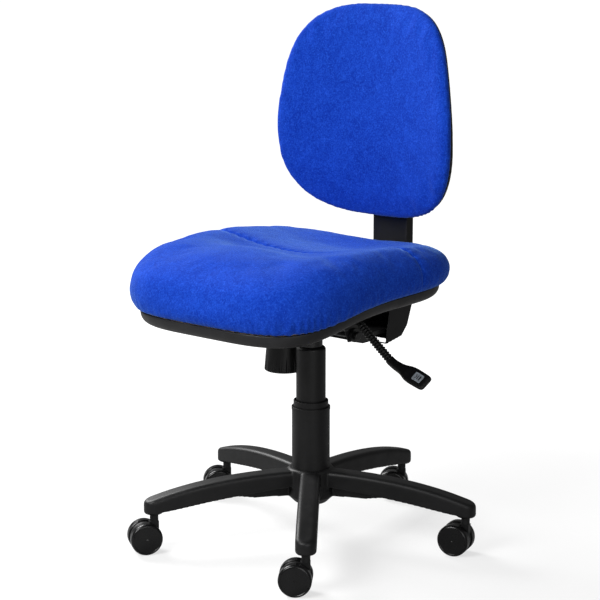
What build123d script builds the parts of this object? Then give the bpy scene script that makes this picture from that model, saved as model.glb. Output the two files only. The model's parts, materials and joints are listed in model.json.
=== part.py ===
from build123d import *
import math
import os

# Swivel office chair: five-arm castor base, telescopic gas column, tilting
# mechanism, upholstered seat and height-adjustable backrest on a bent steel bar.
# Millimetres, +Z up. The origin is on the column axis at floor level, the seat
# faces -Y and the sitter's left side is +X.

# ---------------------------------------------------------------- base and castors
ARM_COUNT = 5
FIRST_ARM_ANGLE = 20.4
STEM_CIRCLE_R = 305.0
ARM_WIDTH = 38.0
ARM_WALL = 4.0
HUB_R = 44.0
HUB_TOP = 140.0
HUB_TAPER = 13.0
HUB_BOTTOM = 72.0
BOSS_BOTTOM = 74.0
COLLAR_R = 17.0
COLLAR_TOP = 86.0
SOCKET_TOP = 100.0

WHEEL_R = 30.0
WHEEL_INNER_Y = 6.8
WHEEL_OUTER_Y = 25.0
CASTER_TRAIL = 18.0
HOOD_HALF = 6.2
STEM_R = 5.5
AXLE_R = 4.0
RUNNING_GAP = 0.04
CASTER_TRAIL_ANGLES = (195.0, 210.0, 228.0, 237.0, 216.0)

# ---------------------------------------------------------------- column
TUBE_R = 25.0
TUBE_WALL = 2.0
TUBE_BOTTOM = 70.0
TUBE_TOP = 250.0
CYLINDER_R = 14.0
CYLINDER_BOTTOM = 178.0
CYLINDER_TOP = 418.0
CYLINDER_BORE_R = 11.0
CONE_BASE = 376.0
CONE_TOP_R = 13.2
ROD_R = 5.0
ROD_TOP = 250.0
BUTTON_R = 4.0
BUTTON_TOP = 423.4

LOWER_COVER_R = 36.0
LOWER_COVER_TOP = 259.0
MIDDLE_COVER_R = 33.0
MIDDLE_COVER_TOP = 271.0
UPPER_COVER_R = 28.0
UPPER_COVER_BOTTOM = 242.0
UPPER_COVER_TOP = 375.0
COVER_WALL = 2.4

# ---------------------------------------------------------------- mechanism
HOUSING_HALF_X = 48.0
HOUSING_FLOOR = 404.0
HOUSING_TOP = 446.0
HOUSING_FRONT = -112.0
HOUSING_REAR = 85.0
STEEL = 3.0
SEAT_PIVOT = (30.0, 415.0)
BACK_PIVOT = (66.0, 391.0)
PIN_R = 6.0
PIN_GAP = 0.05
KNOB_CENTRE = (-78.0, 13.0)
KNOB_TOP = 365.0
KNOB_BOTTOM = 314.0
KNOB_BOTTOM_R = 38.5
KNOB_TOP_R = 34.0
LOCK_PIVOT = (42.0, 60.0, 420.0)
GAS_Y = -32.0
GAS_PIVOT = (-42.0, GAS_Y, 429.0)
LEVER_ROD_R = 4.0
LOCK_ROOT = (70.0, 60.0, 416.0)
LOCK_ELBOW = (149.0, 60.0, 352.0)
LOCK_TIP = (226.0, 60.0, 326.0)
LOCK_TWIST = 40.0
GAS_ELBOW = (-70.0, GAS_Y, 427.0)
GAS_ROOT = (-150.0, GAS_Y, 408.0)
GAS_TIP = (-212.0, GAS_Y, 398.0)

# ---------------------------------------------------------------- seat
SEAT_CENTRE_Y = -56.0
SEAT_POWER = 4.0
CUSHION_HALF_X = 238.0
CUSHION_HALF_Y = 260.0
PAN_HALF_X = 218.0
PAN_HALF_Y = 250.0
PAN_WALL = 3.5
BOARD_THICK = 12.0
SEAM_LINE = (
    (-330, 464), (-290, 465), (-245, 469), (-190, 478), (-130, 489),
    (-60, 495.5), (20, 498), (100, 499), (220, 499),
)
PAN_FLOOR_LINE = (
    (-330, 439), (-290, 439.5), (-245, 443), (-190, 453), (-130, 465),
    (-60, 472), (20, 474), (100, 474), (220, 473.5),
)
CUSHION_TOP_LINE = (
    (-314, 498), (-300, 535), (-268, 560), (-215, 577), (-130, 584),
    (-20, 579), (80, 569), (155, 563), (187, 553), (201, 522),
)
PLATE_Z = 466.0
SEAT_BOLT_X = 70.0
SEAT_BOLT_Y = (-60.0, 100.0)
ARM_HOLE_X = 165.0
ARM_HOLE_Y = (-70.0, 50.0)
ARM_HOLE_R = 4.0

# ---------------------------------------------------------------- back
BACK_HALF_X = 204.0
BACK_WIDEST_Z = 769.0
BACK_RISE = 237.0
BACK_FALL = 171.0
BACK_TOP_POWER = 2.45
BACK_BOTTOM_POWER = 2.75
FRONT_AXIS_Y = -387.0
FRONT_RADIUS = 560.0
BOARD_AXIS_Y = -215.0
BOARD_RADIUS = 425.0
LUMBAR = ((560, 30), (600, 18), (650, 9), (710, 2.5), (770, 0), (870, 2), (975, 13), (1030, 23))
BOARD_BEND = ((560, 12), (600, 7), (650, 3.5), (710, 1), (770, 0), (870, 0), (975, 2), (1030, 4))
SHELL_AXIS_Y = -58.0
SHELL_RADIUS = 301.0
SHELL_BEND = ((560, -26), (600, -12), (650, -4), (710, 1), (770, 0), (870, -5), (975, -15), (1030, -23))
SHELL_WALL = 3.5
BAR_FRONT = 246.0
BAR_REAR = 254.0
BAR_HALF_X = 30.0
BAR_TOP = 880.0
BOOT_FRONT = 240.0
BOOT_REAR = 262.0
BOOT_HALF_X = 42.0
BOOT_TOP = 672.0
BOOT_WALL = 2.5


def tube(outer_r, inner_r, z0, z1):
    """Upright hollow cylinder on the column axis."""
    height = z1 - z0
    ring = Cylinder(outer_r, height) - Cylinder(inner_r, height + 2)
    return Pos(0, 0, (z0 + z1) / 2) * ring


def rod(radius, z0, z1):
    """Upright solid cylinder on the column axis."""
    return Pos(0, 0, (z0 + z1) / 2) * Cylinder(radius, z1 - z0)


def box(x0, x1, y0, y1, z0, z1):
    """Block between two opposite corners."""
    centre = Pos((x0 + x1) / 2, (y0 + y1) / 2, (z0 + z1) / 2)
    return centre * Box(x1 - x0, y1 - y0, z1 - z0)


def cross_pin(radius, x0, x1, y, z):
    """Round bar along X."""
    return Pos((x0 + x1) / 2, y, z) * Rot(0, 90, 0) * Cylinder(radius, x1 - x0)


def stick(radius, start, end):
    """Round bar between two points."""
    path = Edge.make_line(start, end)
    plane = Plane(origin=start, z_dir=path % 0)
    return extrude(plane * Circle(radius), amount=path.length)


def side_prism(points, half_x):
    """Closed polygon in the Y-Z plane, given a thickness across X."""
    face = make_face(Plane.YZ * Polyline(*points, close=True))
    return extrude(face, amount=half_x, both=True)


def side_band(low_line, high_line, low_shift, high_shift, half_x):
    """Solid between two smooth Y-Z curves, straight across X."""
    low = Spline(*[(y, z + low_shift) for y, z in low_line])
    high = Spline(*[(y, z + high_shift) for y, z in high_line])
    front = Line(low @ 0, high @ 0)
    rear = Line(low @ 1, high @ 1)
    face = make_face(Plane.YZ * (low + rear + high + front))
    return extrude(face, amount=half_x, both=True)


def seat_outline(half_x, half_y, z0, z1):
    """Rounded-square prism: a superellipse in plan."""
    count = 48
    points = []
    for i in range(count):
        angle = 2 * math.pi * i / count
        cos = math.cos(angle)
        sin = math.sin(angle)
        x = half_x * math.copysign(abs(cos) ** (2 / SEAT_POWER), cos)
        y = half_y * math.copysign(abs(sin) ** (2 / SEAT_POWER), sin)
        points.append((x, y + SEAT_CENTRE_Y))
    face = make_face(Spline(*points, periodic=True))
    return extrude(Pos(0, 0, z0) * face, amount=z1 - z0)


def back_outline_face(inset):
    """Egg-shaped backrest outline in the X-Z plane, wider below than above."""
    count = 40
    points = []
    for i in range(count):
        angle = 2 * math.pi * i / count
        cos = math.cos(angle)
        sin = math.sin(angle)
        power = BACK_TOP_POWER if sin > 0 else BACK_BOTTOM_POWER
        reach = BACK_RISE if sin > 0 else BACK_FALL
        x = (BACK_HALF_X - inset) * math.copysign(abs(cos) ** (2 / power), cos)
        z = (reach - inset) * math.copysign(abs(sin) ** (2 / power), sin)
        points.append((x, z + BACK_WIDEST_Z))
    return make_face(Plane.XZ * Spline(*points, periodic=True))


def back_prism(inset, y0, y1):
    """Backrest outline extruded straight back from y0 to y1."""
    return extrude(Pos(0, y0, 0) * back_outline_face(inset), amount=y1 - y0, dir=(0, 1, 0))


def back_core(axis_y, radius, bend):
    """Turned solid whose outer face is a backrest surface, curved both ways."""
    edge = Spline(*[(axis_y + radius + shift, z) for z, shift in bend])
    z0 = bend[0][0]
    z1 = bend[-1][0]
    top = Line(edge @ 1, (axis_y, z1))
    axis_line = Line((axis_y, z1), (axis_y, z0))
    bottom = Line((axis_y, z0), edge @ 0)
    face = make_face(Plane.YZ * (edge + top + axis_line + bottom))
    turn = Axis((0, axis_y, 0), (0, 0, 1))
    return revolve(face.rotate(turn, -50), turn, 100)


def board_core(offset):
    """Backrest core at a distance behind the front face of the back board."""
    return back_core(BOARD_AXIS_Y, BOARD_RADIUS + offset, BOARD_BEND)


# ---------------------------------------------------------------- base
def base_arm():
    """One arm along +X: crowned top, arched open underside, round tip boss."""
    top = Spline((20, 137), (110, 135.5), (186, 129), (250, 118.5), (300, 106), (330, 96.5))
    under = Spline((20, 107), (90, 103), (150, 97), (208, 90), (270, 81), (330, 76))
    blank_face = make_face(Plane.XZ * (top + Line(top @ 1, under @ 1) + under + Line(under @ 0, top @ 0)))
    blank = extrude(blank_face, amount=ARM_WIDTH, both=True)
    tip = Pos(STEM_CIRCLE_R, 0) * Circle(ARM_WIDTH / 2)
    plan = Pos(STEM_CIRCLE_R / 2, 0) * Rectangle(STEM_CIRCLE_R, ARM_WIDTH) + tip
    arm = blank & extrude(plan, amount=200)
    top_edges = arm.faces().sort_by(Axis.Z)[-1].edges().filter_by(lambda e: e.center().X > 25)
    arm = fillet(top_edges, 8)
    pocket_plan = Pos(150, 0) * Rectangle(230, ARM_WIDTH - 2 * ARM_WALL)
    pocket = blank.moved(Location((0, 0, -ARM_WALL))) & extrude(pocket_plan, amount=200)
    keel_points = ((38, 130), (38, 84), (110, 86), (172, 96), (172, 126))
    keel_face = make_face(Plane.XZ * Polyline(*keel_points, close=True))
    keel = extrude(keel_face, amount=1.6, both=True)
    at_stem = Pos(STEM_CIRCLE_R, 0, 0)
    boss = arm & (at_stem * rod(ARM_WIDTH, BOSS_BOTTOM, SOCKET_TOP + 20))
    collar = rod(COLLAR_R, BOSS_BOTTOM, COLLAR_TOP)
    collar = fillet(collar.edges().sort_by(Axis.Z)[0], 1.5)
    return (arm - pocket) + keel + boss + at_stem * collar


def star_base():
    """Nylon star with the tapered hub that holds the column tube."""
    hub = rod(HUB_R, HUB_BOTTOM, HUB_TOP)
    hub = fillet(hub.edges().sort_by(Axis.Z)[-1], 5)
    star = chamfer(hub.edges().sort_by(Axis.Z)[0], HUB_TAPER)
    for i in range(ARM_COUNT):
        star += Rot(0, 0, FIRST_ARM_ANGLE + 72 * i) * base_arm()
    star -= rod(TUBE_R, HUB_BOTTOM - 20, HUB_TOP + 20)
    for i in range(ARM_COUNT):
        place = Rot(0, 0, FIRST_ARM_ANGLE + 72 * i) * Pos(STEM_CIRCLE_R, 0, 0)
        star -= place * rod(STEM_R + RUNNING_GAP, BOSS_BOTTOM - 5, SOCKET_TOP - 3)
    return star


def column_tube():
    shell = tube(TUBE_R, TUBE_R - TUBE_WALL, TUBE_BOTTOM, TUBE_TOP)
    floor = tube(TUBE_R - 1, ROD_R + 1, TUBE_BOTTOM, TUBE_BOTTOM + 4)
    return shell + floor


def column_bush():
    """Plastic sleeve that guides the gas cylinder inside the tube."""
    return tube(TUBE_R - TUBE_WALL, CYLINDER_R + RUNNING_GAP, 160, TUBE_TOP)


def thrust_bearing():
    """Ball race in its cage, on the floor of the tube."""
    ring = Pos(0, 0, TUBE_BOTTOM + 7) * Cylinder(15, 6)
    ring = fillet(ring.edges(), 1.2)
    return ring - rod(ROD_R + 0.3, 50, 90)


def piston_rod():
    """Rod of the gas spring with its bottom shoulder and its piston."""
    floor_top = TUBE_BOTTOM + 4
    shaft = rod(ROD_R, floor_top, ROD_TOP)
    foot = rod(ROD_R - 0.7, floor_top - 10, floor_top)
    shoulder = rod(9, floor_top + 6, floor_top + 9)
    piston = rod(CYLINDER_BORE_R - 0.05, ROD_TOP - 12, ROD_TOP)
    return shaft + foot + shoulder + piston


def rod_clip():
    """Spring clip under the tube that keeps the rod in."""
    return tube(9, ROD_R - 0.7, TUBE_BOTTOM - 3.5, TUBE_BOTTOM - 1.5)


def lower_cover():
    body = tube(LOWER_COVER_R, LOWER_COVER_R - COVER_WALL, HUB_TOP, LOWER_COVER_TOP)
    rim = tube(LOWER_COVER_R + 0.7, LOWER_COVER_R - COVER_WALL, LOWER_COVER_TOP - 6, LOWER_COVER_TOP)
    return fillet((body + rim).edges().filter_by(GeomType.CIRCLE).sort_by(Axis.Z)[-1], 0.8)


def middle_cover():
    body = tube(MIDDLE_COVER_R, MIDDLE_COVER_R - COVER_WALL, HUB_TOP + 0.5, MIDDLE_COVER_TOP)
    top_edges = body.edges().filter_by(GeomType.CIRCLE).sort_by(Axis.Z)[-2:]
    return fillet(top_edges, 1.1)


def upper_cover():
    inner_r = TUBE_R + 0.6
    body = rod(UPPER_COVER_R, UPPER_COVER_BOTTOM, UPPER_COVER_TOP)
    body = fillet(body.edges().sort_by(Axis.Z)[-1], 6)
    body -= rod(inner_r, UPPER_COVER_BOTTOM - 5, UPPER_COVER_TOP - 4)
    return body - rod(CYLINDER_R + 0.3, 300, 400)


# ---------------------------------------------------------------- castors
def caster_place(index):
    angle = math.radians(FIRST_ARM_ANGLE + 72 * index)
    x = STEM_CIRCLE_R * math.cos(angle)
    y = STEM_CIRCLE_R * math.sin(angle)
    return Pos(x, y, 0) * Rot(0, 0, CASTER_TRAIL_ANGLES[index])


def caster_hood():
    """Moulded body between the two wheels, with the neck around the stem."""
    disc = Pos(CASTER_TRAIL, 0, WHEEL_R) * Rot(90, 0, 0) * Cylinder(WHEEL_R - 2.5, 2 * HOOD_HALF)
    web = box(-8, 10, -HOOD_HALF, HOOD_HALF, 34, 60)
    neck = rod(8, 59.8, BOSS_BOTTOM - 1.2)
    body = fillet(disc.edges(), 1.5) + web + neck
    body -= Pos(CASTER_TRAIL, 0, WHEEL_R) * Rot(90, 0, 0) * Cylinder(AXLE_R, 40)
    return body - rod(STEM_R, 44, 90)


def caster_stem():
    pin = rod(STEM_R, 44, SOCKET_TOP - 4)
    return chamfer(pin.edges().sort_by(Axis.Z)[-1], 1)


def caster_axle():
    bar = Rot(90, 0, 0) * Cylinder(AXLE_R, 2 * (WHEEL_OUTER_Y - 3))
    return Pos(CASTER_TRAIL, 0, WHEEL_R) * bar


def caster_wheel(side):
    """Closed-face wheel; side is +1 or -1 along the axle."""
    inner = WHEEL_INNER_Y
    outer = WHEEL_OUTER_Y
    rim = Line((0, inner), (WHEEL_R - 1.5, inner))
    bevel = Line((WHEEL_R - 1.5, inner), (WHEEL_R, inner + 1.5))
    tread = Line((WHEEL_R, inner + 1.5), (WHEEL_R, outer - 6))
    shoulder = TangentArc((WHEEL_R, outer - 6), (WHEEL_R - 4, outer - 0.8), tangent=(0, 1))
    lip = Line((WHEEL_R - 4, outer - 0.8), (WHEEL_R - 5, outer - 1.6))
    disc = Line((WHEEL_R - 5, outer - 1.6), (0, outer - 1.0))
    axis_line = Line((0, outer - 1.0), (0, inner))
    face = make_face(rim + bevel + tread + shoulder + lip + disc + axis_line)
    wheel = revolve(face, Axis.Y)
    wheel -= Pos(0, outer - 2.6 - 10, 0) * Rot(90, 0, 0) * Cylinder(AXLE_R + RUNNING_GAP, 20)
    if side < 0:
        wheel = wheel.rotate(Axis.Z, 180)
    return Pos(CASTER_TRAIL, 0, WHEEL_R) * wheel


# ---------------------------------------------------------------- lift column and mechanism
def gas_cylinder():
    """Gas spring body with its cone, rod gland, bore and valve hole."""
    body = rod(CYLINDER_R, CYLINDER_BOTTOM, CONE_BASE)
    cone_height = CYLINDER_TOP - CONE_BASE
    cone = Pos(0, 0, CONE_BASE + cone_height / 2) * Cone(CYLINDER_R, CONE_TOP_R, cone_height)
    body += cone
    body -= rod(ROD_R + RUNNING_GAP, CYLINDER_BOTTOM - 5, 200)
    body -= rod(CYLINDER_BORE_R, CYLINDER_BOTTOM + 12, 375)
    return body - rod(BUTTON_R + RUNNING_GAP, 395, CYLINDER_TOP + 5)


def release_button():
    pin = rod(BUTTON_R, 402, BUTTON_TOP)
    return fillet(pin.edges().sort_by(Axis.Z)[-1], 0.8)


def housing_profile():
    """Side-wall outline with the ears that reach down to the back pivot."""
    return (
        (HOUSING_FRONT, HOUSING_FLOOR), (HOUSING_FRONT, HOUSING_TOP - 14),
        (HOUSING_FRONT + 14, HOUSING_TOP), (HOUSING_REAR, HOUSING_TOP),
        (HOUSING_REAR, 384), (80, 379), (54, 379), (42, HOUSING_FLOOR),
    )


def mechanism_housing():
    """Folded steel box with the conical socket and the lever pivot lugs."""
    blank = side_prism(housing_profile(), HOUSING_HALF_X)
    inside = HOUSING_HALF_X - STEEL
    hollow = box(-inside, inside, HOUSING_FRONT + STEEL, HOUSING_REAR + 5, HOUSING_FLOOR + STEEL, 500)
    ear_gap = box(-inside, inside, 40, HOUSING_REAR + 5, 370, HOUSING_FLOOR)
    body = blank - hollow - ear_gap
    socket_height = CYLINDER_TOP - CONE_BASE - 6
    socket = Pos(0, 0, CONE_BASE + socket_height / 2) * Cylinder(22, socket_height)
    body += socket
    cone_height = CYLINDER_TOP - CONE_BASE
    gap = RUNNING_GAP
    cone = Cone(CYLINDER_R + gap, CONE_TOP_R + gap, cone_height)
    body -= Pos(0, 0, CONE_BASE + cone_height / 2) * cone
    for sign in (-1, 1):
        lock_lug = box(36, inside + 1, 60 + 7.5 * sign - 1.5, 60 + 7.5 * sign + 1.5, 412, 428)
        gas_middle = GAS_Y + 7.5 * sign
        gas_lug = box(-inside - 1, -36, gas_middle - 1.5, gas_middle + 1.5, 421, 437)
        body += lock_lug + gas_lug
    lock_x, lock_y, lock_z = LOCK_PIVOT
    gas_x, gas_y, gas_z = GAS_PIVOT
    for x, y, z in (LOCK_PIVOT, GAS_PIVOT):
        body -= Pos(x, y, z) * Rot(90, 0, 0) * Cylinder(3 + PIN_GAP, 30)
    body -= cross_pin(8, inside - 5, 60, lock_y, lock_z)
    body -= cross_pin(8, -60, -inside + 5, gas_y, gas_z)
    for y, z in (SEAT_PIVOT, BACK_PIVOT):
        body -= cross_pin(PIN_R + PIN_GAP, -60, 60, y, z)
    knob_x, knob_y = KNOB_CENTRE
    shelf = box(knob_x - 18, knob_x + 13.5, knob_y - 18, knob_y + 18, HOUSING_FLOOR, HOUSING_FLOOR + STEEL)
    shelf = fillet(shelf.edges().filter_by(Axis.Z).group_by(Axis.X)[0], 8)
    shelf += box(knob_x + 12, -inside, knob_y - 18, knob_y + 6, HOUSING_FLOOR, HOUSING_FLOOR + STEEL)
    body += shelf
    return body - Pos(knob_x, knob_y, 0) * rod(5.4, 390, 420)


def pivot_pins():
    """The two headed pins of the mechanism, as separate solids."""
    pins = []
    for y, z in (SEAT_PIVOT, BACK_PIVOT):
        pin = cross_pin(PIN_R, -58, 58, y, z)
        for sign in (-1, 1):
            head = Pos(sign * 59.5, y, z) * Rot(0, 90, 0) * Cylinder(8.5, 7)
            pin += fillet(head.edges(), 2.5)
        pins.append(pin)
    return Compound(children=pins)


def tension_knob():
    """Fluted hand knob on the vertical adjusting bolt."""
    height = KNOB_TOP - KNOB_BOTTOM
    blank = Pos(0, 0, KNOB_BOTTOM + height / 2) * Cone(KNOB_BOTTOM_R, KNOB_TOP_R, height)
    blank = fillet(blank.edges().sort_by(Axis.Z)[0], 4)
    blank = fillet(blank.edges().sort_by(Axis.Z)[-1], 3)
    flutes = 18
    for i in range(flutes):
        groove = Pos(KNOB_BOTTOM_R + 0.6, 0, KNOB_BOTTOM + height / 2) * Cylinder(3.4, height + 10)
        blank -= Rot(0, 0, 360 / flutes * i) * groove
    blank -= rod(5, KNOB_BOTTOM + 12, 400)
    return Pos(*KNOB_CENTRE) * blank


def tension_bolt():
    shank = rod(5, KNOB_BOTTOM + 12, 438)
    washer = rod(14, 435, 437.5)
    head = Pos(0, 0, 437.5) * extrude(RegularPolygon(8, 6), amount=5.5) + washer
    return Pos(*KNOB_CENTRE) * (shank + head)


def tension_spring():
    """Stiff coil spring around the bolt, under a spring plate."""
    wire_r = 2.2
    turns = 3.5
    height = 22.6
    coil = Helix(pitch=height / turns, height=height, radius=11.5)
    start = Plane(origin=coil @ 0, z_dir=coil % 0)
    wire = sweep(start * Circle(wire_r), path=coil)
    x, y = KNOB_CENTRE
    return Pos(x, y, HOUSING_FLOOR + STEEL + 2.6) * wire


def lever_shaft(points, pivot):
    """Bent round bar with the cross pin it turns on."""
    body = stick(LEVER_ROD_R, points[0], points[1])
    for start, end in zip(points[1:-1], points[2:]):
        body += Pos(*start) * Sphere(LEVER_ROD_R)
        body += stick(LEVER_ROD_R, start, end)
    return body + Pos(*pivot) * Rot(90, 0, 0) * Cylinder(3, 17.5)


def paddle(root, tip, half_width, thick, twist):
    """Flat tapered grip from root to tip, its upper face twisted towards the front."""
    length = math.dist(root, tip)
    direction = Vector(*tip) - Vector(*root)
    face_up = Vector(0, 1, 0).cross(direction) * -1
    face_up = face_up.rotate(Axis((0, 0, 0), tuple(direction)), twist)
    plane = Plane(origin=root, x_dir=direction, z_dir=face_up)
    neck = Pos(length * 0.16, 0) * Rectangle(length * 0.36, half_width * 1.1)
    blade = Pos(length * 0.65, 0) * Rectangle(length * 0.7, half_width * 2)
    outline = fillet((neck + blade).vertices(), 3)
    body = extrude(plane * outline, amount=thick / 2, both=True)
    return fillet(body.edges().group_by(Axis.Z)[0], 1.0)


def lock_lever_rod():
    inner = (24.0, 60.0, 420.0)
    outer = (52.0, 60.0, 420.0)
    end = tuple(a + (b - a) * 0.25 for a, b in zip(LOCK_ELBOW, LOCK_TIP))
    return lever_shaft((inner, outer, LOCK_ROOT, LOCK_ELBOW, end), LOCK_PIVOT)


def lock_lever_sleeve():
    """Ribbed sleeve threaded over the sloping part of the rod."""
    rings = 11
    start = Vector(*LOCK_ROOT)
    run = Vector(*LOCK_ELBOW) - start
    sleeve = stick(6.2, start + run * 0.02, start + run * 0.92)
    for i in range(rings):
        middle = start + run * (0.07 + 0.82 * i / (rings - 1))
        half = run.normalized() * 2.2
        sleeve += stick(8.0, middle - half, middle + half)
    return sleeve - lock_lever_rod()


def lock_lever_handle():
    return paddle(LOCK_ELBOW, LOCK_TIP, 14, 12, LOCK_TWIST) - lock_lever_rod()


def gas_lever_rod():
    tip = (4.0, 0.0, 429.0)
    bend = (-22.0, GAS_Y, 429.0)
    outer = (-54.0, GAS_Y, 429.0)
    end = tuple(a + (b - a) * 0.3 for a, b in zip(GAS_ROOT, GAS_TIP))
    return lever_shaft((tip, bend, outer, GAS_ELBOW, GAS_ROOT, end), GAS_PIVOT)


def gas_lever_handle():
    return paddle(GAS_ROOT, GAS_TIP, 14, 10, 0) - gas_lever_rod()


# ---------------------------------------------------------------- seat
def bolt_spots():
    return [(x, y) for x in (-SEAT_BOLT_X, SEAT_BOLT_X) for y in SEAT_BOLT_Y]


def arm_spots():
    return [(x, y) for x in (-ARM_HOLE_X, ARM_HOLE_X) for y in ARM_HOLE_Y]


def seat_plate():
    """Pressed plate under the seat with the two pivot flanges."""
    plate = box(-85, 85, -80, 125, PLATE_Z, PLATE_Z + STEEL)
    plate = fillet(plate.edges().filter_by(Axis.Z), 12)
    y, z = SEAT_PIVOT
    for sign in (-1, 1):
        x0, x1 = sorted((sign * 49.3, sign * 52.3))
        flange = box(x0, x1, y - 13, y + 11, z, PLATE_Z + 1)
        flange += cross_pin(11, x0, x1, y, z)
        plate += flange
    plate -= cross_pin(PIN_R + PIN_GAP, -60, 60, y, z)
    for bx, by in bolt_spots():
        plate -= Pos(bx, by, 0) * rod(4.3, PLATE_Z - 10, PLATE_Z + 10)
    return plate


def seat_board():
    """Curved plywood board that carries the foam."""
    board = seat_outline(PAN_HALF_X - 5, PAN_HALF_Y - 5, 400, 520)
    board &= side_band(SEAM_LINE, SEAM_LINE, -0.3 - BOARD_THICK, -0.3, 260)
    for x, y in bolt_spots():
        board -= Pos(x, y, 0) * rod(4.3, 440, 520)
    for x, y in arm_spots():
        board -= Pos(x, y, 0) * rod(ARM_HOLE_R, 440, 520)
    return board


def seat_pan():
    """Moulded cover under the seat: a shallow tray with pillars for the bolts."""
    shell = seat_outline(PAN_HALF_X, PAN_HALF_Y, 400, 520)
    shell &= side_band(PAN_FLOOR_LINE, SEAM_LINE, 0, 0, 260)
    hollow = seat_outline(PAN_HALF_X - PAN_WALL, PAN_HALF_Y - PAN_WALL, 400, 520)
    hollow &= side_band(PAN_FLOOR_LINE, SEAM_LINE, PAN_WALL, 20, 260)
    pan = shell - hollow
    under_board = side_band(PAN_FLOOR_LINE, SEAM_LINE, 1, -0.6 - BOARD_THICK, 260)
    for x, y in bolt_spots() + arm_spots():
        pan += (Pos(x, y, 0) * rod(11, 420, 520)) & under_board
    for x, y in bolt_spots():
        pan -= Pos(x, y, 0) * rod(4.3, 420, 520)
    for x, y in arm_spots():
        pan -= Pos(x, y, 0) * rod(ARM_HOLE_R, 420, 520)
    return pan


def seat_cushion():
    """Plain foam body: overhangs the pan, high rims, sloping front."""
    cushion = seat_outline(CUSHION_HALF_X, CUSHION_HALF_Y, 400, 620)
    top = Spline(*CUSHION_TOP_LINE)
    low = Spline(*[(y, z + 0.3) for y, z in SEAM_LINE])
    front = Polyline(top @ 0, (-316, 480), low @ 0)
    rear = Polyline(low @ 1, (206, 505), top @ 1)
    side = extrude(make_face(Plane.YZ * (top + front + low + rear)), amount=260, both=True)
    section = Pos(0, 0, 517) * Rot(90, 0, 0) * Rectangle(2 * CUSHION_HALF_X, 140)
    section = fillet(section.vertices(), 42)
    cushion &= side
    return cushion & extrude(section, amount=400, both=True)


def seat_bolts():
    """Four bolts from the steel plate up into the board."""
    bolts = []
    for x, y in bolt_spots():
        head = Pos(0, 0, PLATE_Z - 6) * extrude(RegularPolygon(6.5, 6), amount=6)
        bolts.append(Pos(x, y, 0) * (head + rod(4, PLATE_Z - 2, PLATE_Z + 20)))
    return Compound(children=bolts)


# ---------------------------------------------------------------- back
def back_bar():
    """Bent flat bar with the two fork ears that hang on the back pivot."""
    bend = 44.0
    z0 = 372.0
    thick = BAR_REAR - BAR_FRONT
    mid_y = (BAR_FRONT + BAR_REAR) / 2
    mid_z = z0 + thick / 2
    run = Line((95, mid_z), (mid_y - bend, mid_z))
    corner = TangentArc(run @ 1, (mid_y, mid_z + bend), tangent=(1, 0))
    rise = Line(corner @ 1, (mid_y, BAR_TOP))
    path = Plane.YZ * (run + corner + rise)
    start = Plane(origin=(0, 95, mid_z), x_dir=(1, 0, 0), z_dir=(0, 1, 0))
    section = start * Rectangle(2 * BAR_HALF_X, thick)
    bar = sweep(section, path=path)
    bar += box(-54.5, 54.5, 92, 112, z0, z0 + thick)
    y, z = BACK_PIVOT
    ear = ((y, z - 13), (y, z + 13), (y + 12, z + 11), (112, z0 + thick), (112, z0), (88, z0))
    for sign in (-1, 1):
        x0, x1 = sorted((sign * 49.3, sign * 54.5))
        plate = side_prism(ear, 60) & box(x0, x1, 0, 200, 300, 500)
        bar += plate + cross_pin(13, x0, x1, y, z)
    bar -= cross_pin(PIN_R + PIN_GAP, -60, 60, y, z)
    for i in range(6):
        slot = Pos(0, mid_y, 750 + 20 * i) * Rot(90, 0, 0) * Cylinder(4, 20)
        bar -= slot
    return bar


def boot_outline(shrink):
    """Side view of the bar cover: narrow above, a boot around the bend."""
    s = shrink
    return (
        (BOOT_REAR - s, BOOT_TOP + s), (BOOT_REAR - s, 420), (247 - s, 380 + s),
        (229 - s, 361 + s), (177, 352 + s), (180 + s, 380), (190 + s, 424),
        (212 + s, 450), (232 + s, 474), (BOOT_FRONT + s, 500), (BOOT_FRONT + s, BOOT_TOP + s),
    )


def back_bar_cover():
    """Moulded cover around the bar, open towards the mechanism and at both ends."""
    body = side_prism(boot_outline(0), BOOT_HALF_X)
    body = fillet(body.edges().filter_by(GeomType.LINE).filter_by(lambda e: abs(e.center().X) > 40
                  and e.center().Y > 225), 2.0)
    inner = side_prism(boot_outline(BOOT_WALL), BOOT_HALF_X - BOOT_WALL)
    mouth = box(-BOOT_HALF_X + BOOT_WALL, BOOT_HALF_X - BOOT_WALL, 150, 200, 355, 440)
    return body - inner - mouth


def shell_core(offset):
    """Backrest core whose outer face is the rear of the moulded shell."""
    return back_core(SHELL_AXIS_Y, SHELL_RADIUS + offset, SHELL_BEND)


def back_shell():
    """Moulded rear shell with the spine that the bar runs up into."""
    outer = shell_core(0) & back_prism(4, 100, 300)
    inner = shell_core(-SHELL_WALL) & back_prism(4 + SHELL_WALL, 90, 310)
    spine = box(-51, 51, 226, 268.5, 596, 905)
    spine = fillet(spine.edges().filter_by(Axis.Z).group_by(Axis.Y)[-1], 10)
    spine -= shell_core(-2)
    channel = box(-BOOT_HALF_X - 1.5, BOOT_HALF_X + 1.5, 200, 264.5, 560, 900)
    shell = (outer - inner) + spine
    return shell - channel - board_core(0.3)


def back_board():
    """Curved plywood board inside the backrest."""
    board = board_core(8) & back_prism(16, 100, 300)
    board -= board_core(0)
    board &= shell_core(-SHELL_WALL - 0.5)
    for x, z in back_screw_spots():
        board -= Pos(x, 220, z) * Rot(90, 0, 0) * Cylinder(3.2, 60)
    return board


def back_cushion():
    """Plain foam body of the backrest, dished across and curved at the loins."""
    pad = back_prism(0, 80, 230) & board_core(-0.3)
    return pad - back_core(FRONT_AXIS_Y, FRONT_RADIUS, LUMBAR)


def back_screw_spots():
    return [(x, z) for x in (-27, 27) for z in (735, 845)]


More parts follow.
